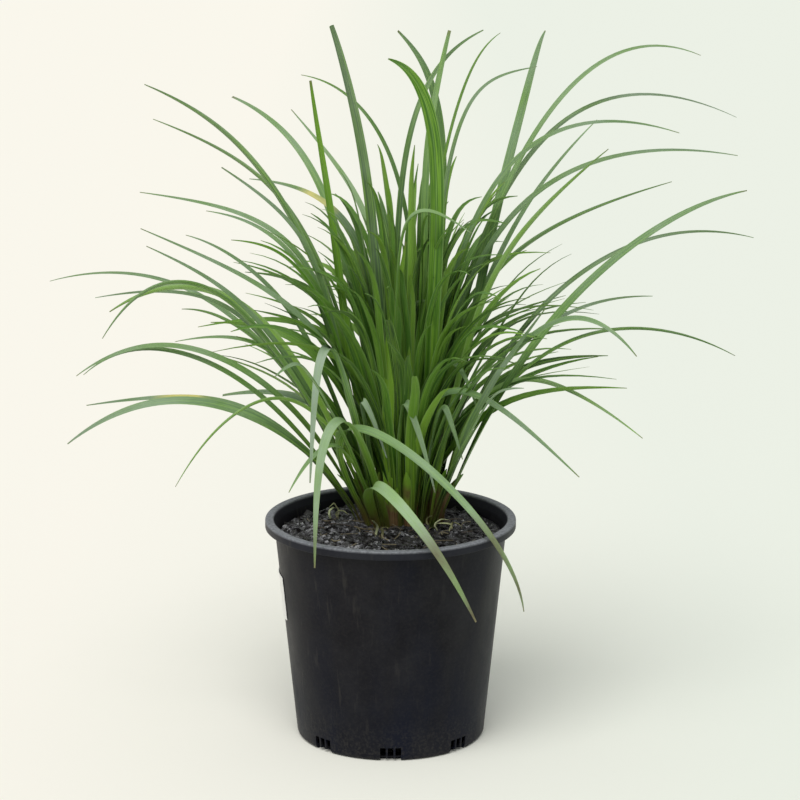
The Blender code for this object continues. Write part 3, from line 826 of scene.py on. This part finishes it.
class POTTED_GRASS_OT_label(bpy.types.Operator):
    """Wrap the blank label on the left of the pot"""
    bl_idname = "potted_grass.label"
    bl_label = "Label"

    def execute(self, context):
        look = context.scene.potted_grass_pot
        low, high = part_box("pot_label")
        columns, rows, corner = 40, 24, 0.0012
        start, end = radians(158), radians(196.5)
        tall, width = high.z - low.z, (end - start) * BASE_RADIUS
        bm = bmesh.new()
        for j in range(rows + 1):
            for i in range(columns + 1):
                across, up = i / columns, j / rows
                z = low.z + up * tall
                near = min(across, 1 - across) * width
                below = min(up, 1 - up) * tall
                pull = 0.0
                if near < corner and below < corner:
                    pull = max(0.0, hypot(corner - near, corner - below) - corner)
                lean = start + across * (end - start)
                z += pull * (1 if up < 0.5 else -1)
                crinkle = LABEL_CRINKLE * sin(across * 23) * sin(up * 17 + across * 9)
                radius = wall_radius(z) + LABEL_STANDOFF + max(crinkle, 0)
                bm.verts.new((radius * cos(lean), radius * sin(lean), z))
        bm.verts.ensure_lookup_table()
        side = columns + 1
        for j in range(rows):
            for i in range(columns):
                a = j * side + i
                bm.faces.new([bm.verts[k] for k in (a, a + side, a + side + 1, a + 1)])
        mesh = bpy.data.meshes.new("blank_label")
        bmesh.ops.recalc_face_normals(bm, faces=bm.faces)
        first = bm.faces[0]
        if first.normal.xy.dot(first.calc_center_median().xy) < 0:
            bmesh.ops.reverse_faces(bm, faces=bm.faces)
        bm.to_mesh(mesh)
        bm.free()
        sheet = add_object("blank_label_sheet", mesh)
        solid = sheet.modifiers.new("Thickness", "SOLIDIFY")
        solid.thickness = LABEL_THICKNESS
        solid.offset = 1
        mesh.materials.append(label_material(look))
        piece = baked_object(sheet, "blank_label")
        piece.data.shade_smooth()
        piece.data.set_sharp_from_angle(angle=LABEL_SHARP)
        settle(piece, "label_white", "pot_label")
        return {"FINISHED"}


def clod_tree():
    """The tree that roughens the top of the mix into clods."""
    tree, given = new_tree("clods", {"Height": ("Float", 0.004), "Material": ("Material", None)})
    place = add_node(tree, "GeometryNodeInputPosition").outputs[0]
    facing = add_node(tree, "GeometryNodeInputNormal").outputs[0]
    up = parts(tree, facing)[2]
    coarse = add_node(tree, "ShaderNodeTexNoise", {"Vector": place, "Scale": 90.0, "Detail": 3.0})
    fine = add_node(tree, "ShaderNodeTexVoronoi", {"Vector": place, "Scale": 260.0})
    lump = maths(tree, "ADD", maths(tree, "SUBTRACT", coarse.outputs["Fac"], 0.5),
                 maths(tree, "MULTIPLY_ADD", fine.outputs["Distance"], -0.45, 0.15))
    lift = times(tree, times(tree, lump, given["Height"]), spread(tree, up, 0.6, 0.9))
    moved = add_node(tree, "GeometryNodeSetPosition",
                     {"Geometry": given["Geometry"], "Offset": joined(tree, z=lift)})
    end_tree(tree, moved.outputs[0], given["Material"])
    return tree


def scatter_tree(name, shape):
    """The tree that strews one kind of piece on the top of the mix, each turned and sized at random."""
    tree, given = new_tree(name, {
        "Density": ("Float", 1000.0), "Smallest": ("Vector", (0.001, 0.001, 0.001)),
        "Largest": ("Vector", (0.002, 0.002, 0.002)), "Reach": ("Float", 0.08), "Tilt": ("Float", 1.0),
        "Left Share": ("Float", 0.0), "Sink": ("Float", 0.0), "Seed": ("Int", 0),
        "Material": ("Material", None)})
    place = add_node(tree, "GeometryNodeInputPosition").outputs[0]
    x, y, _ = parts(tree, place)
    up = parts(tree, add_node(tree, "GeometryNodeInputNormal").outputs[0])[2]
    out = add_node(tree, "ShaderNodeVectorMath", {0: joined(tree, x, y)}, operation="LENGTH").outputs["Value"]
    inside = maths(tree, "LESS_THAN", out, given["Reach"])
    allowed = times(tree, inside, maths(tree, "GREATER_THAN", up, 0.2))
    to_left = times(tree, given["Left Share"], spread(tree, x, -0.08, 0.02, 1.0, -1.0))
    density = times(tree, given["Density"], maths(tree, "ADD", 1.0, to_left))
    spots = add_node(tree, "GeometryNodeDistributePointsOnFaces",
                     {"Mesh": given["Geometry"], "Selection": allowed, "Density": density,
                      "Seed": given["Seed"]})
    turn = add_node(tree, "FunctionNodeRandomValue",
                    {0: (-1, -1, -pi), 1: (1, 1, pi), "Seed": given["Seed"]}, data_type="FLOAT_VECTOR")
    tilt = joined(tree, given["Tilt"], given["Tilt"], 1.0)
    turned_by = add_node(tree, "ShaderNodeVectorMath", {0: turn.outputs[0], 1: tilt}, operation="MULTIPLY")
    euler = add_node(tree, "FunctionNodeEulerToRotation", {0: turned_by.outputs[0]}).outputs[0]
    size = add_node(tree, "FunctionNodeRandomValue",
                    {0: given["Smallest"], 1: given["Largest"], "Seed": given["Seed"]},
                    data_type="FLOAT_VECTOR")
    strewn = add_node(tree, "GeometryNodeInstanceOnPoints",
                      {"Points": spots.outputs[0], "Instance": shape(tree), "Rotation": euler,
                       "Scale": size.outputs[0]})
    lowered = add_node(tree, "GeometryNodeSetPosition",
                       {"Geometry": strewn.outputs[0], "Offset": joined(tree, z=given["Sink"])})
    end_tree(tree, lowered.outputs[0], given["Material"])
    return tree


def chip_shape(tree):
    """A cube of unit size knocked out of square."""
    out_of_square = Vector((0.28, 0.28, 0.28))
    cube = add_node(tree, "GeometryNodeMeshCube", {"Size": (1, 1, 1)})
    knock = add_node(tree, "FunctionNodeRandomValue", {0: -out_of_square, 1: out_of_square, "Seed": 5},
                     data_type="FLOAT_VECTOR")
    return add_node(tree, "GeometryNodeSetPosition",
                    {"Geometry": cube.outputs[0], "Offset": knock.outputs[0]}).outputs[0]


def grain_shape(tree):
    """A coarse ball of unit size."""
    return add_node(tree, "GeometryNodeMeshIcoSphere", {"Radius": 0.5, "Subdivisions": 1}).outputs[0]


# Name: (shape, density, smallest, largest, tilt, share to the left, sink, seed, colours)
STREWN = {
    "mix_chips": (chip_shape, 1.0, (0.0034, 0.0022, 0.0010), (0.0100, 0.0050, 0.0026),
                  0.5, 0.1, -0.0002, 11, "chip"),
    "mix_crumbs": (grain_shape, 1.0, (0.0010, 0.0010, 0.0008), (0.0042, 0.0034, 0.0026),
                   1.0, 0.0, 0.0, 23, "crumb"),
    "mix_grit": (chip_shape, 0.34, (0.0010, 0.0008, 0.0006), (0.0046, 0.0030, 0.0018),
                 1.0, 0.85, 0.0002, 37, "grit"),
    "mix_pearls": (grain_shape, 0.03, (0.0012, 0.0012, 0.0010), (0.0026, 0.0024, 0.0020),
                   1.0, 0.6, 0.0004, 41, "pearl"),
}
# The mix stands clear of the wall, and further clear behind the drainage slots
WALL_GAP = 0.0003
FOOT_GAP = 0.014
FIBRES = 70
FIBRE_CORNERS = [(0.5, 0), (0.15, -0.45), (-0.4, -0.3), (-0.4, 0.3), (0.15, 0.45)]


class POTTED_GRASS_OT_mix(bpy.types.Operator):
    """Build the potting mix with its clods, chips, crumbs and fibres"""
    bl_idname = "potted_grass.mix"
    bl_label = "Potting mix"

    def execute(self, context):
        look = context.scene.potted_grass_mix
        inner = WALL + WALL_GAP
        side = MIX_HIGH.z - 0.004
        edge = wall_radius(side) - inner
        rings = [i / 70 for i in range(71)]
        tops = [(edge * share, MIX_HIGH.z - 0.002 * max(0, share - 0.65) / 0.35 - 0.001) for share in rings]
        profile = tops + [(wall_radius(z) - inner, z) for z in (0.14, 0.10, 0.06, 0.03)]
        profile += [(BASE_RADIUS - FOOT_GAP, 0.017), (BASE_RADIUS - FOOT_GAP, 0.0023), (0, 0.0023)]
        bed = turned("mix_turned", profile, 200)
        bed = baked_object(bed, "mix_bed_plain")
        dark = mix_material(look, "mix_bed", look.dark_colour, look.light_colour, 0.5)
        bed = made_mesh(bed, clod_tree(), {"Height": look.clod_height, "Material": dark}, "potting_mix_bed")
        colours = {
            "chip": mix_material(look, "bark_chips", look.bark_colour, look.chip_colour, 0.5),
            "crumb": mix_material(look, "mix_crumbs", look.dark_colour, look.chip_colour, 0.4),
            "grit": mix_material(look, "grit", look.chip_colour, look.fleck_and_glint_colour, 0.9),
            "pearl": mix_material(look, "pearls", look.pearl_colour, look.fleck_and_glint_colour, 0.2),
        }
        trees = {}
        for name, row in STREWN.items():
            shape, share, smallest, largest, tilt, left, sink, seed, colour = row
            if shape not in trees:
                trees[shape] = scatter_tree("strew_" + shape.__name__, shape)
            base = look.chip_density if name == "mix_chips" else look.grain_density
            values = {"Density": base * share, "Smallest": smallest, "Largest": largest,
                      "Reach": edge - 0.003, "Tilt": tilt, "Left Share": left, "Sink": sink, "Seed": seed,
                      "Material": colours[colour]}
            ground = add_object(name + "_ground", bed.data.copy())
            settle(made_mesh(ground, trees[shape], values, name), "potting_mix")
        bed.data.shade_smooth()
        settle(bed, "potting_mix", "potting_mix")

        rng = random.Random(71)
        strands = []
        for _ in range(FIBRES):
            heading, out = rng.uniform(0, 2 * pi), edge * 0.93 * rng.random() ** 0.7
            height = MIX_HIGH.z + rng.uniform(0.0002, 0.0022)
            middle = Vector((out * cos(heading), out * sin(heading), height))
            lie = rng.uniform(0, 2 * pi)
            half = Vector((cos(lie), sin(lie), rng.uniform(-0.25, 0.25))) * rng.uniform(0.003, 0.011)
            bow = Vector((-half.y, half.x, rng.uniform(0, 0.004))) * rng.uniform(-0.6, 0.6)
            ends = [middle - half, middle - half * 0.3 + bow, middle + half * 0.3 + bow, middle + half]
            if max(hypot(p.x, p.y) for p in ends) > edge - 0.001:
                continue
            width = rng.uniform(0.0004, 0.0011)
            strands.append(([along(ends, i / 6) for i in range(7)], [width] * 7, 0, None))
        section = section_of("fibre_section", FIBRE_CORNERS)
        settle(swept_piece("mix_fibres", strands, section, straw_material(look), 5), "potting_mix")
        bpy.data.objects.remove(section)
        return {"FINISHED"}


# Blade cross-sections, one unit wide: a folded strap with a raised rib under it, and a curled sheath
BLADE_CORNERS = [(-0.5, 0.20), (-0.26, 0.09), (0, 0.0), (0.26, 0.09), (0.5, 0.20),
                 (0.25, 0.04), (0, -0.07), (-0.25, 0.04)]
FINE_CORNERS = [(-0.5, 0.20), (0, 0.0), (0.5, 0.20), (0, -0.07)]
SHEATH_CORNERS = [(-0.5, 0.32), (-0.34, 0.08), (0, -0.04), (0.34, 0.08), (0.5, 0.32),
                  (0.36, 0.02), (0, -0.11), (-0.36, 0.02)]

# Leaves that show more of the grey bloom and its painted sheen, with how strong it is
BLOOM_AND_SHEEN_LEAVES = {
    "front_leaf_1": 0.55, "front_leaf_2": 1.0, "front_leaf_3": 0.9, "front_leaf_4": 0.9,
    "front_leaf_5": 0.9, "front_leaf_6": 0.55, "front_leaf_7": 0.75, "front_leaf_8": 0.8,
    "front_leaf_9": 1.0, "upright_leaf_7": 0.5,
}
YELLOWED = ("left_leaf_6", "left_leaf_19")
FRESH = ("upright_leaf_4", "upright_leaf_6", "upright_leaf_1", "left_leaf_16", "left_leaf_8")
# Strength of the bloom and its painted sheen on open, upright and fresh leaves
OPEN_BLOOM_AND_SHEEN = 0.62
MID_BLOOM_AND_SHEEN = 0.4
FRESH_BLOOM_AND_SHEEN = 0.03

# How far the leaves turn their upper face to the front
MOST_FACING = 1.5
UPRIGHT_FACING = 3.0
ARC_FACING = 0.2
BLOOM_AND_SHEEN_FACING = 0.6
PALE_FACING = {"front_leaf_8": 1.7, "front_leaf_9": 0.3}

# Width left at the tip as a share of the leaf's; upright leaves that end above TALL are blunter
LEAF_TIP = 0.13
TALL = 0.37
TALL_TIP = 0.45
TIPS = {
    "upright_leaf_4": 0.1, "upright_leaf_5": 0.25, "upright_leaf_9": 0.2, "upright_leaf_1": 0.3,
    "left_leaf_3": 0.3, "left_leaf_20": 0.3, "left_leaf_5": 0.25, "front_leaf_8": 0.1,
}

# Steps along a leaf, and how far it wavers
LONG_STEPS, LONG_SWAY = 44, 0.0008
SIDE_STEPS, SIDE_SWAY = 36, 0.001

# Tone of a leaf, from deep green at 0 to fresh green at 1, where it isn't left to chance
TONES = {
    "upright_leaf_4": 0.30, "left_leaf_18": 0.3, "left_leaf_19": 0.3, "left_leaf_20": 0.2,
    "front_leaf_9": 0.9, "upright_leaf_1": 0.75, "upright_leaf_6": 1.0,
}


def facing_of(rng):
    """How far a leaf turns its upper face to the front: most do, a few turn away."""
    return MOST_FACING * rng.uniform(0.7, 1) * (1 if rng.random() < 0.78 else -1)


class POTTED_GRASS_OT_leaves(bpy.types.Operator):
    """Build every long leaf with the finer ones beside it"""
    bl_idname = "potted_grass.leaves"
    bl_label = "Long leaves"

    def execute(self, context):
        look = context.scene.potted_grass_leaves
        rng = random.Random(19)
        section = section_of("blade_section", BLADE_CORNERS)
        materials = {}
        routes = {name: (arching_route(*row[:-1]), row) for name, row in ARCHING_LEAVES.items()}
        routes |= {name: (folded_route(*row[:-1]), row) for name, row in FOLDED_LEAVES.items()}
        for index, (name, (route, row)) in enumerate(routes.items()):
            facing = facing_of(rng)
            if name == "upright_leaf_7":
                facing = ARC_FACING
            elif name.startswith("upright"):
                facing = UPRIGHT_FACING
            elif name in BLOOM_AND_SHEEN_LEAVES:
                facing = PALE_FACING.get(name, BLOOM_AND_SHEEN_FACING)
            upright = "upright" in name
            tip = TIPS.get(name, TALL_TIP if upright and row[-4] > TALL else LEAF_TIP)
            tone = TONES.get(name)
            strands = [strand(route, row[-1], facing, tip, LONG_STEPS, LONG_SWAY, index, tone=tone)]
            for extra in COMPANIONS.get(name, ()):
                strands.append(strand(arching_route(*extra[:-1]), extra[-1], facing_of(rng), LEAF_TIP,
                                      SIDE_STEPS, SIDE_SWAY, index + 0.5))
            usual = MID_BLOOM_AND_SHEEN if upright else OPEN_BLOOM_AND_SHEEN
            bloom_and_sheen = BLOOM_AND_SHEEN_LEAVES.get(name, FRESH_BLOOM_AND_SHEEN if name in FRESH else usual)
            age = 1.0 if name in YELLOWED else 0.0
            key = f"leaf_bloom_{round(bloom_and_sheen * 100)}_age_{round(age)}"
            if key not in materials:
                materials[key] = leaf_material(look, key, bloom_and_sheen, age)
            piece = swept_piece(name + "_blade", strands, section, materials[key], index + 3)
            settle(piece, "leaf_green", name)
        bpy.data.objects.remove(section)
        return {"FINISHED"}


# Bundle: (shoot it stands for, headings from and to, seed)
BUNDLES = {
    "inner_leaves_centre": ("shoot_centre", 0, 360, 101),
    "inner_leaves_left": ("shoot_left", 125, 235, 102),
    "inner_leaves_front": ("shoot_front", 215, 325, 103),
    "inner_leaves_right": ("shoot_right", -55, 55, 104),
    "inner_leaves_back": ("shoot_back", 35, 145, 105),
}
# How far out the flattest leaf of a bundle ends, how high the steepest ends, and how much lower the flattest
BUNDLE_REACH = 0.155
BUNDLE_TOP = 0.30
BUNDLE_DROP = 0.15


class POTTED_GRASS_OT_inner_leaves(bpy.types.Operator):
    """Fill the heart of the clump with bundles of young leaves"""
    bl_idname = "potted_grass.inner_leaves"
    bl_label = "Inner leaves"

    def execute(self, context):
        look = context.scene.potted_grass_leaves
        section = section_of("fine_section", FINE_CORNERS)
        inner = leaf_material(look, "inner_leaf", 0.14)
        for name, (node, start, end, seed) in BUNDLES.items():
            rng = random.Random(seed)
            strands = []
            for index in range(look.inner_leaves):
                heading = rng.uniform(start, end)
                lean = rng.random()
                reach = (0.035 + BUNDLE_REACH * lean) * (0.7 + 0.3 * abs(cos(radians(heading))))
                tip_up = (BUNDLE_TOP - BUNDLE_DROP * lean) * rng.uniform(0.70, 1.08)
                knee_out = 0.004 + reach * rng.uniform(0.15, 0.4)
                knee_up = tip_up * rng.uniform(0.8, 0.92 + 0.3 * lean)
                row = (heading, knee_out, knee_up, reach, tip_up, rng.uniform(-14, 14), rng.uniform(0.6, 0.9))
                route = arching_route(*row)
                foot = CROWN + (route[0] - CROWN) * rng.uniform(0.15, 1.0)
                route = (foot, *route[1:])
                strands.append(strand(route, rng.uniform(0.0055, 0.0100), rng.uniform(-0.8, 1.4), 0.08, 18,
                                      0.0012, index, 0.9, 2.8))
            settle(swept_piece(name, strands, section, inner, seed, 3), "shoot_green", node)
        bpy.data.objects.remove(section)
        return {"FINISHED"}


# Sheath clusters round the foot of each shoot: (x, y) from the crown, radius, count, height, width
SHEATH_CLUSTERS = [
    ((-0.026, -0.004), 0.007, 9, 0.055, 0.012), ((-0.010, -0.012), 0.006, 7, 0.034, 0.008),
    ((0.004, -0.010), 0.008, 10, 0.060, 0.013), ((0.024, 0.002), 0.008, 10, 0.048, 0.011),
    ((0.000, 0.014), 0.012, 9, 0.060, 0.012),
]


# Small pale sprouts and dry stubs on the mix: (x, y, lean in x, lean in y, height)
SPROUTS = [
    (-0.044, 0.034, -0.006, -0.004, 0.018), (-0.042, 0.030, 0.008, -0.006, 0.011),
    (-0.048, 0.028, 0.004, 0.006, 0.014), (0.031, 0.012, 0.008, -0.004, 0.012),
    (0.038, 0.002, 0.010, 0.004, 0.011), (0.046, -0.004, -0.009, -0.002, 0.009),
    (0.050, 0.006, 0.006, -0.010, 0.008), (-0.012, -0.020, -0.003, -0.010, 0.016),
    (-0.006, -0.024, 0.004, -0.006, 0.012),
]
SPROUT_WIDTH = 0.0022


class POTTED_GRASS_OT_sheaths(bpy.types.Operator):
    """Wrap the feet of the shoots in old brown and green leaf bases"""
    bl_idname = "potted_grass.sheaths"
    bl_label = "Leaf bases"

    def execute(self, context):
        look = context.scene.potted_grass_leaves
        rng = random.Random(57)
        section = section_of("sheath_section", SHEATH_CORNERS)
        strands = []
        for (x, y), radius, count, height, width in SHEATH_CLUSTERS:
            for index in range(count):
                heading = 2 * pi * (index + rng.uniform(-0.3, 0.3)) / count
                out = Vector((cos(heading), sin(heading), 0))
                foot = CROWN + Vector((x, y, -FOOT_LIFT)) + out * radius * rng.uniform(0.55, 1)
                lean = out * rng.uniform(0.002, 0.014) + Vector((x, y, 0)) * rng.uniform(0.1, 0.5)
                tall = height * rng.uniform(0.5, 1.15)
                route = (foot, foot + Vector((0, 0, tall * 0.4)),
                         foot + lean * 0.5 + Vector((0, 0, tall * 0.7)), foot + lean + Vector((0, 0, tall)))
                wide = width * rng.uniform(0.6, 1.1)
                strands.append(strand(route, wide, 0.0, 0.12, 12, 0.0, index, 0.8))
        piece = swept_piece("leaf_bases", strands, section, sheath_material(look), 13)
        settle(piece, "shoot_green")
        sprouts = []
        for index, (x, y, lean_x, lean_y, tall) in enumerate(SPROUTS):
            foot = Vector((x, y, MIX_HIGH.z - 0.001))
            lean = Vector((lean_x, lean_y, 0))
            end = Vector((0, 0, tall * (0.6 + 0.5 * rng.random())))
            route = (foot, foot - lean * 0.4 + Vector((0, 0, tall * 0.6)), foot + Vector((0, 0, tall)),
                     foot + lean + end)
            sprouts.append(strand(route, SPROUT_WIDTH, 0.3, 0.1, 14, 0.001, index))
        settle(swept_piece("pale_sprouts", sprouts, section, straw_material(look), 7), "shoot_green")
        bpy.data.objects.remove(section)
        return {"FINISHED"}


KEY_FROM = (-0.20, -0.60, 1.0)
KEY_COLOUR = (1.0, 0.985, 0.95)
SKY_COLOUR = (0.97, 1.0, 0.98, 1)
FLOOR_HALF = 40
FLOOR_DROP = 0.0002
SENSOR_WIDTH = 36
CAMERA_SHIFT = 0.01175
CAMERA_REACH = 200


class POTTED_GRASS_OT_stage(bpy.types.Operator):
    """Lay the pale floor and set the soft lights and the camera"""
    bl_idname = "potted_grass.stage"
    bl_label = "Stage"

    def execute(self, context):
        scene = context.scene
        look = scene.potted_grass_stage
        bm = bmesh.new()
        bmesh.ops.create_grid(bm, x_segments=2, y_segments=2, size=FLOOR_HALF)
        mesh = bpy.data.meshes.new("studio_floor")
        bm.to_mesh(mesh)
        bm.free()
        for vertex in mesh.vertices:
            vertex.co.z = -FLOOR_DROP
        mesh.materials.append(floor_material(look))
        add_object("studio_floor", mesh)

        data = bpy.data.lights.new("key_light", "SUN")
        data.energy = look.key_strength
        data.angle = look.key_softness
        data.color = KEY_COLOUR
        key = add_object("key_light", data)
        key.rotation_euler = (-Vector(KEY_FROM)).to_track_quat("-Z", "Y").to_euler()
        world = bpy.data.worlds.new("studio_sky")
        scene.world = world
        world.use_nodes = True
        sky = world.node_tree.nodes["Background"]
        sky.inputs["Color"].default_value = SKY_COLOUR
        sky.inputs["Strength"].default_value = look.sky_strength
        scene.view_settings.view_transform = "Standard"

        data = bpy.data.cameras.new("camera")
        data.lens = look.lens
        data.sensor_width = SENSOR_WIDTH
        data.shift_x = CAMERA_SHIFT
        data.clip_end = CAMERA_REACH
        camera = add_object("camera", data)
        camera.location = (0, -look.camera_distance, look.camera_height)
        camera.rotation_euler = (pi / 2 - look.camera_pitch, 0, 0)
        scene.camera = camera
        return {"FINISHED"}


class POTTED_GRASS_PT_panel(bpy.types.Panel):
    """Potted grass tools"""
    bl_idname = "POTTED_GRASS_PT_panel"
    bl_label = "Potted grass"
    bl_space_type = "VIEW_3D"
    bl_region_type = "UI"
    bl_category = "Potted Grass"

    def draw(self, context):
        for operator in OPERATORS:
            self.layout.operator(operator.bl_idname)


OPERATORS = (POTTED_GRASS_OT_stage, POTTED_GRASS_OT_pot, POTTED_GRASS_OT_label, POTTED_GRASS_OT_mix,
             POTTED_GRASS_OT_sheaths, POTTED_GRASS_OT_leaves, POTTED_GRASS_OT_inner_leaves)
SETTINGS = {"potted_grass_leaves": PottedGrassLeafLook, "potted_grass_mix": PottedGrassMixLook,
            "potted_grass_pot": PottedGrassPotLook, "potted_grass_stage": PottedGrassStage}
CLASSES = (*SETTINGS.values(), *OPERATORS, POTTED_GRASS_PT_panel)


def register():
    """Adds the tools and their settings."""
    for item in CLASSES:
        bpy.utils.register_class(item)
    for name, group in SETTINGS.items():
        setattr(bpy.types.Scene, name, PointerProperty(type=group))


def unregister():
    """Takes the tools and their settings away."""
    for name in SETTINGS:
        delattr(bpy.types.Scene, name)
    for item in reversed(CLASSES):
        bpy.utils.unregister_class(item)


def main():
    """Builds every piece."""
    register()
    for tool in ("stage", "pot", "label", "mix", "sheaths", "leaves", "inner_leaves"):
        getattr(bpy.ops.potted_grass, tool)()


if __name__ == "__main__":
    main()
